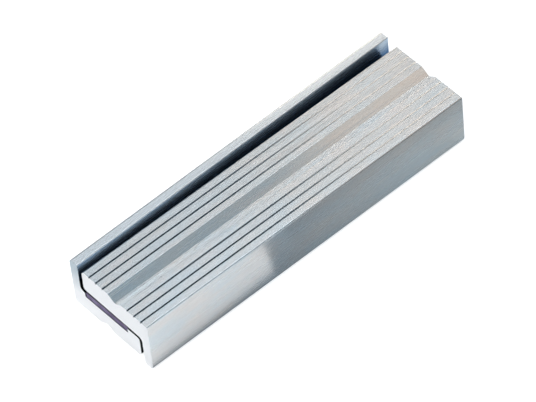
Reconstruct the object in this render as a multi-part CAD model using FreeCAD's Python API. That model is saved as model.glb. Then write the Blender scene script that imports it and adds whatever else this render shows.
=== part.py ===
# Nested pair of magnetic soft vice jaws, 150 mm long.
#
# Each jaw is a length of L-shaped aluminium extrusion: a thick grip plate with a thin leg along one edge,
# which hooks over the vice's own jaw. The grip face has a V groove for round stock and fine score lines on
# both sides of it. For storage the two jaws lie back to back: the lower one is turned half a turn about its
# length, so each leg passes the free edge of the other plate and stands proud of the other grip face.
# Flexible magnet strips lie between the two backs and hold the pair together.
#
# The pair lies as it comes to rest: on the tip of the upper jaw's leg and on the outer corner of the lower jaw,
# which tilts it a few degrees.
#
# Frame: X runs along the jaws, Z is up, and Y points from the upper jaw's leg towards its free edge. The origin
# is at mid-length on the centre line of the upper V groove, in the plane of the upper grip face.

import FreeCAD, Part
import math
import os

from FreeCAD import Placement, Rotation, Vector

# Driving dimensions, in millimetres and degrees.

# The extrusion
jaw_length = 150.0
jaw_width = 36.0            # free edge to the outer face of the leg
plate_thickness = 10.0      # grip face to back
leg_height = 24.2           # grip face to the round tip of the leg
leg_thickness = 4.3

# The lower jaw's leg, whose tip is faced off flat
faced_leg_height = 23.3
faced_outer_radius = 1.2
faced_inner_radius = 0.4

# V groove and score lines of the grip face
vee_width = 7.6
vee_angle = 116.0
vee_mouth_radius = 0.35
vee_root_radius = 0.5
score_width = 0.7
score_depth = 0.8
scores_per_side = 3
vee_land = 2.95             # mouth of the V groove to the nearest score line's centre
free_edge_margin = 4.23     # free edge to the centre of the outermost score line
leg_edge_margin = 3.63      # outer face of the leg to the centre of the outermost score line

# Corners
free_edge_bevel_across = 1.1
free_edge_bevel_down = 1.4
bevel_radius = 0.4
outer_corner_radius = 0.8
inner_corner_radius = 2.0
back_edge_radius = 1.2

# Magnet recess in the back of the lower jaw
recess_depth = 2.2
free_edge_land = 6.4        # free edge to the recess
leg_land = 0.3              # end of the inner corner's round to the recess

# Magnet strips
lower_strip_thickness = 2.4
lower_strip_side_gap = 0.3  # strip to the wall of its recess, each side
upper_strip_thickness = 1.1
upper_strip_width = 13.0
upper_strip_offset = 17.7   # free edge of the upper jaw to the centre line of its strip
strip_corner_radius = 0.25
strip_end_gap = 0.3         # end of a strip to the end of its jaw

# How the two jaws nest
side_gap = 1.5              # free edge of one plate to the leg of the other, at the near end
lower_jaw_skew = 0.65       # the lower jaw lies this many degrees out of line, about Z at the near end

# Worked out from the driving dimensions.
near_end = -jaw_length / 2
vee_centre = (free_edge_margin + jaw_width - leg_edge_margin) / 2
vee_depth = vee_width / 2 / math.tan(math.radians(vee_angle / 2))
score_nearest = vee_width / 2 + vee_land
score_farthest = vee_centre - free_edge_margin
score_pitch = (score_farthest - score_nearest) / (scores_per_side - 1)
tip_radius = leg_thickness / 2
leg_inner_face = jaw_width - leg_thickness
recess_edges = (free_edge_land, leg_inner_face - inner_corner_radius - leg_land)
lower_strip_proud = lower_strip_thickness - recess_depth
back_gap = upper_strip_thickness + max(lower_strip_proud, 0)    # the narrow strip also laps the recess's edge
lower_free_edge = Vector(0, vee_centre - leg_inner_face + side_gap, -2 * plate_thickness - back_gap)


def towards(start, end):
    """The unit vector from one point to another."""
    return (end - start).normalize()


def corner_arc(before, corner, after, radius):
    """The arc of a given radius that turns a corner, touching both of its sides."""
    side_in = towards(corner, before)
    side_out = towards(corner, after)
    half_angle = side_in.getAngle(side_out) / 2
    tangent_length = radius / math.tan(half_angle)
    to_middle = radius / math.sin(half_angle) - radius
    start = corner + side_in * tangent_length
    middle = corner + (side_in + side_out).normalize() * to_middle
    end = corner + side_out * tangent_length
    return Part.Arc(start, middle, end).toShape(), start, end


def extrude_profile(corners, start_x, length):
    """Extrude along X a closed profile given as (across, up, radius) corners. Across runs towards -Y."""
    points = [Vector(start_x, -across, up) for across, up, radius in corners]
    radii = [radius for across, up, radius in corners]
    arcs = []
    for index, radius in enumerate(radii):
        point = points[index]
        if radius == 0:
            arcs.append((None, point, point))
        else:
            arcs.append(corner_arc(points[index - 1], point, points[(index + 1) % len(points)], radius))

    edges = []
    for index, (arc, start, end) in enumerate(arcs):
        previous_end = arcs[index - 1][2]
        if previous_end.distanceToPoint(start) > 1e-6:
            edges.append(Part.makeLine(previous_end, start))
        if arc is not None:
            edges.append(arc)
    return Part.Face(Part.Wire(edges)).extrude(Vector(length, 0, 0))


def score_line(centre):
    """The corners of one V-shaped score line in the grip face."""
    return [
        (centre - score_width / 2, 0, 0),
        (centre, -score_depth, 0),
        (centre + score_width / 2, 0, 0),
    ]


def grip_face():
    """The corners of the grip face from the free edge to the leg: scores, V groove, scores."""
    steps = [score_nearest + number * score_pitch for number in range(scores_per_side)]
    corners = []
    for step in reversed(steps):
        corners += score_line(vee_centre - step)
    corners += [
        (vee_centre - vee_width / 2, 0, vee_mouth_radius),
        (vee_centre, -vee_depth, vee_root_radius),
        (vee_centre + vee_width / 2, 0, vee_mouth_radius),
    ]
    for step in steps:
        corners += score_line(vee_centre + step)
    return corners


def magnet_recess():
    """The corners of the recess in a jaw's back, from the leg to the free edge."""
    free_side, leg_side = recess_edges
    floor = recess_depth - plate_thickness
    return [
        (leg_side, -plate_thickness, 0),
        (leg_side, floor, 0),
        (free_side, floor, 0),
        (free_side, -plate_thickness, 0),
    ]


def round_tip():
    """The corners of a leg's round tip, from its outer face to its inner one."""
    return [(jaw_width, -leg_height, tip_radius), (leg_inner_face, -leg_height, tip_radius)]


def faced_tip():
    """The corners of a tip that is faced off flat, from the leg's outer face to its inner one."""
    return [
        (jaw_width, -faced_leg_height, faced_outer_radius),
        (leg_inner_face, -faced_leg_height, faced_inner_radius),
    ]


def jaw(leg_tip, back_details):
    """One jaw, with its free edge on the plane Y = 0 and its grip face up, on the plane Z = 0."""
    corners = [
        (0, -free_edge_bevel_down, bevel_radius),
        (free_edge_bevel_across, 0, bevel_radius),
    ]
    corners += grip_face()
    corners.append((jaw_width, 0, outer_corner_radius))
    corners += leg_tip
    corners.append((leg_inner_face, -plate_thickness, inner_corner_radius))
    corners += back_details
    corners.append((0, -plate_thickness, back_edge_radius))
    return extrude_profile(corners, near_end, jaw_length)


def strip(left, right, bottom, top):
    """A magnet strip under or in a jaw's back, between two distances from the free edge."""
    corners = [
        (left, top, strip_corner_radius),
        (right, top, strip_corner_radius),
        (right, bottom, strip_corner_radius),
        (left, bottom, strip_corner_radius),
    ]
    return extrude_profile(corners, near_end + strip_end_gap, jaw_length - 2 * strip_end_gap)


def upper_strip():
    """The narrow strip stuck to the flat back of the upper jaw."""
    left = upper_strip_offset - upper_strip_width / 2
    right = upper_strip_offset + upper_strip_width / 2
    back = -plate_thickness
    return strip(left, right, back - upper_strip_thickness, back)


def lower_strip():
    """The wide strip bedded in the lower jaw's recess, which it fills and stands proud of."""
    left = recess_edges[0] + lower_strip_side_gap
    right = recess_edges[1] - lower_strip_side_gap
    floor = recess_depth - plate_thickness
    return strip(left, right, floor - lower_strip_thickness, floor)


def rest_tilt():
    """The turn about X that brings the upper leg's tip and the lower jaw's outer corner to one level.

    Both are round, so the ground line is the common tangent under two circles in the section. The skew carries
    the far end of the lower corner furthest out, so that end is the one that touches. A leg too short to reach
    the ground leaves the pair flat on the lower grip face.
    """
    drift = jaw_length * math.sin(math.radians(lower_jaw_skew))
    tip_y = vee_centre - jaw_width + tip_radius
    tip_z = tip_radius - leg_height
    corner_y = lower_free_edge.y + jaw_width - outer_corner_radius + drift
    corner_z = lower_free_edge.z + outer_corner_radius
    across = corner_y - tip_y
    up = corner_z - tip_z
    slope_of_centres = math.atan2(up, across)
    slope_of_radii = math.asin((tip_radius - outer_corner_radius) / math.hypot(across, up))
    return -max(math.degrees(slope_of_centres + slope_of_radii), 0)


def place(shape, placement):
    """A piece moved to its place in the pair, which is then tilted as it rests."""
    tilt = Placement(Vector(0, 0, 0), Rotation(Vector(1, 0, 0), rest_tilt()))
    placed = shape.copy()
    placed.Placement = tilt * placement
    return placed


def place_upper(shape):
    """Move a piece of the upper jaw so that the V groove's centre line lies on the X axis."""
    return place(shape, Placement(Vector(0, vee_centre, 0), Rotation()))


def place_lower(shape):
    """Turn a piece of the lower jaw back to back with the upper jaw, and skew it about the near end."""
    half_turn = Placement(lower_free_edge, Rotation(Vector(1, 0, 0), 180))
    near_corner = Vector(near_end, lower_free_edge.y, 0)
    skew = Placement(Vector(0, 0, 0), Rotation(Vector(0, 0, 1), lower_jaw_skew), near_corner)
    return place(shape, skew * half_turn)


nodes = {
    "upper_jaw": place_upper(jaw(round_tip(), [])),
    "lower_jaw": place_lower(jaw(faced_tip(), magnet_recess())),
    "upper_magnet_strip": place_upper(upper_strip()),
    "lower_magnet_strip": place_lower(lower_strip()),
}

os.makedirs("parts", exist_ok=True)
for name, shape in nodes.items():
    shape.exportStep(f"parts/{name}.step")
    box = shape.BoundBox
    extent = f"Y {box.YMin:.2f} to {box.YMax:.2f}, Z {box.ZMin:.2f} to {box.ZMax:.2f}"
    print(f"{name}: {shape.Volume:.0f} mm3, {extent}")
print(f"rest tilt {rest_tilt():.3f} degrees")
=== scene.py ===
import math

import bpy
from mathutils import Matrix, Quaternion, Vector


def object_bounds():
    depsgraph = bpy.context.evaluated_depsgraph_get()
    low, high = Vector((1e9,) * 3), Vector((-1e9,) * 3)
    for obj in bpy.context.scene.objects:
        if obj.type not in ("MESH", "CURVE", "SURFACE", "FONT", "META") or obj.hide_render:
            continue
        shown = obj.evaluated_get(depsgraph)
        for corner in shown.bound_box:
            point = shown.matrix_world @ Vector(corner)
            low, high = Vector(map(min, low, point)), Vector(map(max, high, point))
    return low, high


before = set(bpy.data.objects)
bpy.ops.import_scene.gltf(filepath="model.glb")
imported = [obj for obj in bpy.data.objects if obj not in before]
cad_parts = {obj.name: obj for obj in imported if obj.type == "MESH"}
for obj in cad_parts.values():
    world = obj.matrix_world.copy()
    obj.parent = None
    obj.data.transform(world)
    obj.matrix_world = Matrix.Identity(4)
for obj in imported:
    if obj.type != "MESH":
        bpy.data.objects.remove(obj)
cad_low, cad_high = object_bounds()

MM = 0.001
GROUND = cad_low.z                      # the level that the pair rests on
TILT = math.radians(4.095)              # how far the grip face leans from level, as the pair rests
LIP_SIDE = 19 * MM                      # the lower jaw's leg, which stands up as the lip, lies beyond this Y


# Nodes

def linear(hex_colour):
    """An sRGB hex colour as the linear values that Blender's sockets take."""
    levels = [int(hex_colour[i:i + 2], 16) / 255 for i in (1, 3, 5)]
    return [c / 12.92 if c <= 0.04045 else ((c + 0.055) / 1.055) ** 2.4 for c in levels] + [1.0]


def add(owner, kind, settings=(), **inputs):
    """Add a node to a material or world.

    Settings are its own properties. Each input is named for its socket, or i and the socket's number, and is
    given as a value, a hex colour, an output socket, or a node whose first output feeds it.
    """
    node = owner.node_tree.nodes.new(kind)
    for key, value in dict(settings).items():
        setattr(node, key, value)
    for key, value in inputs.items():
        socket = node.inputs[int(key[1:]) if key[1:].isdigit() else key.replace("_", " ")]
        if isinstance(value, bpy.types.Node):
            value = next(output for output in value.outputs if output.enabled)
        if isinstance(value, bpy.types.NodeSocket):
            owner.node_tree.links.new(value, socket)
        else:
            socket.default_value = linear(value) if isinstance(value, str) else value
    return node


# A Mix node takes the share in i0, then two numbers in i2 and i3, two vectors in i4 and i5, or two colours in
# i6 and i7. The share is how much of the second it gives.
COLOURS = {"data_type": "RGBA"}
VECTORS = {"data_type": "VECTOR"}
MULTIPLY = {"operation": "MULTIPLY"}
GREATER = {"operation": "GREATER_THAN"}
LESS = {"operation": "LESS_THAN"}
ABSOLUTE = {"operation": "ABSOLUTE"}
DOT_PRODUCT = {"operation": "DOT_PRODUCT"}


def new_material(name):
    material = bpy.data.materials.new(name)
    material.use_nodes = True
    material.node_tree.nodes.clear()
    return material


# Finishes

def streaks(m, place, length, width, detail, roughness):
    """Soft noise drawn out along the jaws into streaks of a given length and width."""
    scaled = add(m, "ShaderNodeMapping", Vector=place, Scale=(1 / length, 1 / width, 1 / width))
    return add(m, "ShaderNodeTexNoise", Vector=scaled, Scale=1.0, Detail=detail, Roughness=roughness)


def extruded_aluminium():
    """Mill-finish extruded aluminium with saw-cut ends.

    The die leaves fine lines along the length, which smear reflections across them. The saw leaves the ends
    rougher and whiter.
    """
    cool_film, warm_film = "#e5ebee", "#efebe8"
    # Painted shade in the score lines, and the unshaded colour it fades to
    score_painted_shade, score_unshaded = "#97a3ab", "#fdfcfa"
    # Painted highlight on the lip's flat top
    tip_painted_highlight = "#f6f9fb"
    # Painted shade down the lip's inner face, from its top to deep in the gap
    lip_shade_top, lip_shade_deep = "#d4e6f6", "#5f86b0"
    # Painted shade for the faces deep in the gap
    gap_painted_shade = "#20262c"
    sawn_end, sawn_lip = "#fcfcfd", "#c9d4db"

    m = new_material("mill_finish_aluminium")
    place = add(m, "ShaderNodeTexCoord").outputs["Object"]
    x, y, z = add(m, "ShaderNodeSeparateXYZ", Vector=place).outputs
    normal = add(m, "ShaderNodeNewGeometry").outputs["True Normal"]
    facing_x, facing_y, facing_z = add(m, "ShaderNodeSeparateXYZ", Vector=normal).outputs

    # Die lines, some 0.4 mm and some 1.5 mm apart
    fine = streaks(m, place, 60 * MM, 0.4 * MM, 2.0, 0.6)
    wide = streaks(m, place, 200 * MM, 1.5 * MM, 2.0, 0.6)
    lines = add(m, "ShaderNodeMix", i0=0.35, i2=fine, i3=wide)

    # The oxide film varies from cool to warm grey
    film = streaks(m, place, 20 * MM, 8 * MM, 4.0, 0.65)
    film = add(m, "ShaderNodeMapRange", Value=film, From_Min=0.35, From_Max=0.65)
    colour = add(m, "ShaderNodeMix", COLOURS, i0=film, i6=cool_film, i7=warm_film)

    # The score lines are the V grooves whose flanks lean 24 degrees from upright. Painted shade darkens them
    # at the near end and fades out from about mid-length.
    grip_normal = (0, math.sin(TILT), math.cos(TILT))
    lean = add(m, "ShaderNodeVectorMath", DOT_PRODUCT, i0=normal, i1=grip_normal)
    lean = add(m, "ShaderNodeMath", ABSOLUTE, i0=lean)
    score = add(m, "ShaderNodeMath", {"operation": "COMPARE"}, i0=lean, i1=0.40, i2=0.03)
    score_shade_fade = add(m, "ShaderNodeMapRange", {"interpolation_type": "SMOOTHSTEP"}, Value=x,
                From_Min=-25 * MM, From_Max=55 * MM)
    score_colour = add(m, "ShaderNodeMix", COLOURS, i0=score_shade_fade, i6=score_painted_shade, i7=score_unshaded)
    colour = add(m, "ShaderNodeMix", COLOURS, i0=score, i6=colour, i7=score_colour)

    # The lip's tip is faced off flat, and its top carries a painted highlight, brighter than the mill finish
    lip = add(m, "ShaderNodeMath", GREATER, i0=y, i1=LIP_SIDE)
    up = add(m, "ShaderNodeMath", GREATER, i0=facing_z, i1=0.9)
    lit_tip_top = add(m, "ShaderNodeMath", MULTIPLY, i0=lip, i1=up)
    colour = add(m, "ShaderNodeMix", COLOURS, i0=lit_tip_top, i6=colour, i7=tip_painted_highlight)

    # Painted shade: the lip's inner face darkens blue down into the gap
    inner = add(m, "ShaderNodeMath", LESS, i0=facing_y, i1=-0.9)
    beside = add(m, "ShaderNodeMath", GREATER, i0=y, i1=12 * MM)
    inner = add(m, "ShaderNodeMath", MULTIPLY, i0=inner, i1=beside)
    deep = add(m, "ShaderNodeMapRange", Value=z, From_Min=-1 * MM, From_Max=-6.5 * MM)
    shaded = add(m, "ShaderNodeMix", COLOURS, i0=deep, i6=lip_shade_top, i7=lip_shade_deep)
    colour = add(m, "ShaderNodeMix", COLOURS, i0=inner, i6=colour, i7=shaded)

    # Painted shade blackens the faces inside the gap, which look up or towards -Y
    inward = add(m, "ShaderNodeVectorMath", DOT_PRODUCT, i0=normal, i1=(0, -0.707, 0.707))
    inward = add(m, "ShaderNodeMath", GREATER, i0=inward, i1=0.6)
    inside_leg = add(m, "ShaderNodeMath", GREATER, i0=y, i1=-15 * MM)
    below = add(m, "ShaderNodeMapRange", Value=z, From_Min=-7 * MM, From_Max=-9 * MM)
    gap_shade_mask = add(m, "ShaderNodeMath", MULTIPLY, i0=inward, i1=inside_leg)
    gap_shade_mask = add(m, "ShaderNodeMath", MULTIPLY, i0=gap_shade_mask, i1=below)
    colour = add(m, "ShaderNodeMix", COLOURS, i0=gap_shade_mask, i6=colour, i7=gap_painted_shade)

    # The saw-cut ends are the faces that look along X. They are whiter, and greyer towards the top of the
    # lip's end.
    cut = add(m, "ShaderNodeMath", ABSOLUTE, i0=facing_x)
    cut = add(m, "ShaderNodeMath", GREATER, i0=cut, i1=0.9)
    high = add(m, "ShaderNodeMapRange", Value=z, From_Min=-16 * MM, From_Max=-3 * MM)
    greyer_up_lip = add(m, "ShaderNodeMath", MULTIPLY, i0=lip, i1=high)
    sawn = add(m, "ShaderNodeMix", COLOURS, i0=greyer_up_lip, i6=sawn_end, i7=sawn_lip)
    colour = add(m, "ShaderNodeMix", COLOURS, i0=cut, i6=colour, i7=sawn)

    # Reflections smear across the grain: round the section on the long faces, side to side on the sawn ends
    round_section = add(m, "ShaderNodeTangent", {"direction_type": "RADIAL", "axis": "X"})
    smear = add(m, "ShaderNodeMix", VECTORS, i0=cut, i4=round_section, i5=(0, 1, 0))

    drawn = add(m, "ShaderNodeMapRange", Value=lines, From_Min=0.3, From_Max=0.7, To_Min=0.22, To_Max=0.30)
    rough = add(m, "ShaderNodeMix", i0=cut, i2=drawn, i3=0.5)
    bump = add(m, "ShaderNodeBump", Height=lines, Strength=0.04, Distance=0.02 * MM)
    metal = add(m, "ShaderNodeBsdfPrincipled", Base_Color=colour, Metallic=1.0, Roughness=rough, Normal=bump,
                Anisotropic=0.88, Tangent=smear)
    add(m, "ShaderNodeOutputMaterial", Surface=metal)
    return m


def magnetic_rubber(name, dark, light):
    """Flexible magnet strip, which is rubber filled with ferrite powder.

    It is dull and purple-grey, and mottled where it was cut.
    """
    # Painted shade on the faces that look up or down
    strip_painted_shade = "#17141a"
    m = new_material(name)
    place = add(m, "ShaderNodeTexCoord").outputs["Object"]
    grain = add(m, "ShaderNodeTexNoise", Vector=place, Scale=1 / (0.3 * MM), Detail=2.0, Roughness=0.5)
    patches = add(m, "ShaderNodeTexNoise", Vector=place, Scale=1 / (4 * MM), Detail=2.0, Roughness=0.5)
    mottle = add(m, "ShaderNodeMix", i0=0.7, i2=grain, i3=patches)
    mottle = add(m, "ShaderNodeMapRange", Value=mottle, From_Min=0.35, From_Max=0.65)
    colour = add(m, "ShaderNodeMix", COLOURS, i0=mottle, i6=dark, i7=light)

    # Painted shade blackens the faces that look up or down, which carry the pull
    normal = add(m, "ShaderNodeNewGeometry").outputs["True Normal"]
    facing_z = add(m, "ShaderNodeSeparateXYZ", Vector=normal).outputs["Z"]
    strip_shade_mask = add(m, "ShaderNodeMath", ABSOLUTE, i0=facing_z)
    strip_shade_mask = add(m, "ShaderNodeMath", GREATER, i0=strip_shade_mask, i1=0.5)
    colour = add(m, "ShaderNodeMix", COLOURS, i0=strip_shade_mask, i6=colour, i7=strip_painted_shade)

    bump = add(m, "ShaderNodeBump", Height=grain, Strength=0.4, Distance=0.05 * MM)
    rubber = add(m, "ShaderNodeBsdfPrincipled", Base_Color=colour, Roughness=0.75, Normal=bump)
    add(m, "ShaderNodeOutputMaterial", Surface=rubber)
    return m


aluminium = extruded_aluminium()
finishes = {
    "upper_jaw": aluminium,
    "lower_jaw": aluminium,
    # The upper strip is a darker copy of the rubber, painted shade for where it lies in the gap
    "upper_magnet_strip": magnetic_rubber("painted_shade_magnetic_rubber", "#1d1921", "#2f2936"),
    "lower_magnet_strip": magnetic_rubber("magnetic_rubber", "#594b6b", "#8b7f9f"),
}
for name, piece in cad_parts.items():
    for slot in piece.material_slots:
        slot.material = finishes[name]


# Camera

azimuth, elevation, roll = (math.radians(angle) for angle in (-39.868, 53.313, -2.223))
distance = 1.6133
target = Vector((-1.06, 2.70, -11.965)) * MM
level_distance = math.cos(elevation)
away = Vector((math.sin(azimuth) * level_distance, -math.cos(azimuth) * level_distance, math.sin(elevation)))
camera_data = bpy.data.cameras.new("camera")
camera_data.lens = 302.24
camera_data.sensor_width = 36.0
camera_data.clip_end = 20.0
camera = bpy.data.objects.new("camera", camera_data)
bpy.context.scene.collection.objects.link(camera)
camera.location = target + away * distance
camera.rotation_mode = "QUATERNION"
camera.rotation_quaternion = (-away).to_track_quat("-Z", "Y") @ Quaternion((0, 0, 1), roll)
bpy.context.scene.camera = camera


# Floor and cards

def paper(name, near_colour, far_colour, camera_lift, mirror_lift):
    """Matt paper, which keeps the shadow that falls on it.

    It glows by one amount as the camera sees it, which makes it white, and by another as metal mirrors it. Its
    colour changes along the jaws.
    """
    m = new_material(name)
    place = add(m, "ShaderNodeTexCoord").outputs["Object"]
    along = add(m, "ShaderNodeSeparateXYZ", Vector=place).outputs["X"]
    along = add(m, "ShaderNodeMapRange", Value=along, From_Min=-20 * MM, From_Max=60 * MM)
    tone = add(m, "ShaderNodeMix", COLOURS, i0=along, i6=near_colour, i7=far_colour)
    ray = add(m, "ShaderNodeLightPath").outputs
    mirrored = add(m, "ShaderNodeMath", MULTIPLY, i0=ray["Is Glossy Ray"], i1=mirror_lift)
    lift = add(m, "ShaderNodeMath", {"operation": "MULTIPLY_ADD"}, i0=ray["Is Camera Ray"], i1=camera_lift,
               i2=mirrored)
    sheet = add(m, "ShaderNodeBsdfPrincipled", Base_Color=tone, Roughness=0.9, Specular_IOR_Level=0.0,
                Emission_Color="#ffffff", Emission_Strength=lift)
    add(m, "ShaderNodeOutputMaterial", Surface=sheet)
    return m


def lay_sheet(name, height, corners, material):
    """A flat sheet of the studio at a height over the ground, with its corners given in millimetres."""
    mesh = bpy.data.meshes.new(name)
    mesh.from_pydata([(x * MM, y * MM, GROUND + height * MM) for x, y in corners], [], [range(len(corners))])
    mesh.materials.append(material)
    sheet = bpy.data.objects.new(name, mesh)
    bpy.context.scene.collection.objects.link(sheet)
    return sheet


FLOOR_REACH = 4000
floor_corners = [(-FLOOR_REACH, -FLOOR_REACH), (FLOOR_REACH, -FLOOR_REACH),
                 (FLOOR_REACH, FLOOR_REACH), (-FLOOR_REACH, FLOOR_REACH)]
lay_sheet("floor", 0, floor_corners, paper("white_paper", "#f2f2f2", "#f2f2f2", 0.6, 0.12))

# A grey card lies beside the upper jaw's leg and shows only in the metal. The far part of the leg reflects
# it, the near part the white floor, and its curved edge is the edge between them. A darker card lies on it
# further out, where the top of the leg looks.
card_corners = [
    (-78, -19), (400, -19), (400, -500), (20, -500),
    (0, -60), (-6, -43), (-9.3, -35), (-12.2, -28.5), (-15.5, -24), (-78, -21.5),
]
dark_card_corners = [(2, -36), (95, -34), (100, -100), (12, -100)]
cards = [
    lay_sheet("card", 0.1, card_corners, paper("grey_card", "#74828c", "#c0cace", 0.0, 0.08)),
    lay_sheet("dark_card", 0.2, dark_card_corners, paper("dark_card", "#56626c", "#948e8a", 0.0, 0.08)),
]
for card in cards:
    card.visible_camera = card.visible_diffuse = card.visible_shadow = False


# Lamps

LAMP_DISTANCE = 0.75


def softbox(name, start, end, angle, spread, colour, level):
    """A long studio lamp parallel to the jaws, which lights them and isn't seen by the camera.

    It runs from start to end along X, in metres. Angle is where its middle hangs, in degrees over the jaws
    from +Y, and spread is how many degrees it covers. Level is how bright its face is.
    """
    data = bpy.data.lights.new(name, "AREA")
    data.shape = "RECTANGLE"
    data.size = end - start
    data.size_y = 2 * LAMP_DISTANCE * math.tan(math.radians(spread / 2))
    data.color = linear(colour)[:3]
    data.energy = level * math.pi * data.size * data.size_y
    lamp = bpy.data.objects.new(name, data)
    bpy.context.scene.collection.objects.link(lamp)
    turn = math.radians(angle)
    middle = (start + end) / 2
    lamp.location = (middle, LAMP_DISTANCE * math.cos(turn), LAMP_DISTANCE * math.sin(turn))
    lamp.rotation_euler = (turn - math.pi / 2, 0, 0)
    lamp.visible_camera = False


# Each lamp shows in one set of faces. The camera sees a lamp in the metal some 0.31 m nearer along X than the
# lamp hangs, so the lamps for the near and far parts of the jaws meet at about 0.3 m.
softbox("overhead", 0.03, 0.30, 52, 17, "#e6eff8", 0.40)         # the flats of the grip face, near part
softbox("overhead_far", 0.30, 0.95, 52, 17, "#e6eff8", 0.10)     # the same, far part
softbox("top", 0.0, 0.32, 71, 19, "#eaf2f8", 2.5)                # the V groove's flank on the leg's side
softbox("top_far", 0.32, 0.90, 71, 19, "#eaf2f8", 2.0)           # the same, far part
softbox("fill", -0.10, 0.34, 118, 24, "#b4d6e8", 0.45)           # its other flank, which stays darker
softbox("warm", 0.34, 0.80, 118, 24, "#fff0e2", 0.95)            # the same, far part
softbox("low", 0.31, 0.75, 30, 16, "#fff2e4", 2.5)               # the far part of the score lines
softbox("horizon", 0.0, 0.85, 9, 14, "#e8f2fa", 0.55)            # the outer face of the lower jaw's leg
softbox("side", -0.35, 0.29, 158, 36, "#e8f0f8", 1.2)            # the leg's outer corner, near part
softbox("key", -1.50, -0.30, 65, 80, "#fffdfb", 2.2)             # the near end


# World

world = bpy.data.worlds.new("studio")
bpy.context.scene.world = world
world.use_nodes = True
world.node_tree.nodes.clear()

# Bright to both sides of the lamps, dark behind them, so the lamps draw the edges of the metal. The camera
# sees plain white.
BEHIND_LAMPS = 0.40
direction = add(world, "ShaderNodeTexCoord").outputs["Generated"]
aside = add(world, "ShaderNodeSeparateXYZ", Vector=direction).outputs["X"]
aside = add(world, "ShaderNodeMath", {"operation": "SUBTRACT"}, i0=aside, i1=BEHIND_LAMPS)
aside = add(world, "ShaderNodeMath", ABSOLUTE, i0=aside)
glow = add(world, "ShaderNodeMapRange", {"interpolation_type": "SMOOTHSTEP"}, Value=aside,
           From_Min=0.15, From_Max=0.40, To_Min=0.11, To_Max=0.50)
seen = add(world, "ShaderNodeLightPath").outputs["Is Camera Ray"]
glow = add(world, "ShaderNodeMix", i0=seen, i2=glow, i3=1.0)
tint = add(world, "ShaderNodeMix", COLOURS, i0=seen, i6="#dde8f1", i7="#ffffff")
sky = add(world, "ShaderNodeBackground", Color=tint, Strength=glow)
add(world, "ShaderNodeOutputWorld", Surface=sky)

bpy.context.scene.view_settings.view_transform = "Standard"
